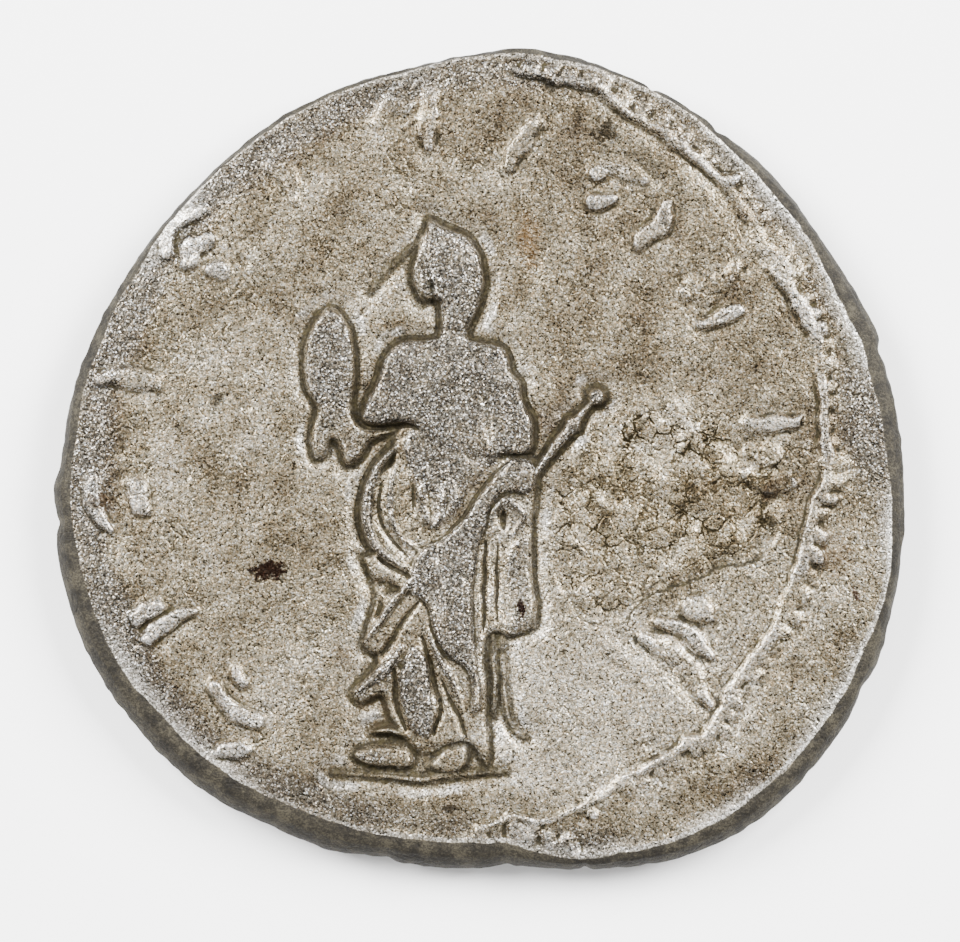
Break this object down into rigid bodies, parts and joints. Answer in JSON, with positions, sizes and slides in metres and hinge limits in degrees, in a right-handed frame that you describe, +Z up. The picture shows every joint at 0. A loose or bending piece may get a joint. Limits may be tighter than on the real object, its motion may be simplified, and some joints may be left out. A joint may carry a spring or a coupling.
{
  "type": "silver antoninianus coin",
  "caption": "Worn struck silver coin: a standing veiled figure with a sceptre, off-centre beaded border, ring of blank strokes, uneven rounded edge.",
  "frame": {"origin": "under the middle of the coin's outline, on the plane that its back rests on", "axes": "+Z up out of the pictured face, +Y towards the figure's head, +X to the figure's left hand side as seen"},
  "size_m": [0.022, 0.0212, 0.0018],
  "materials": {
    "billon": "struck debased silver, frosted fields, worn silver-grey high spots, brown-grey tarnish in the recesses"
  },
  "bodies": {
    "root": {"coin": "billon"}
  },
  "joints": []
}
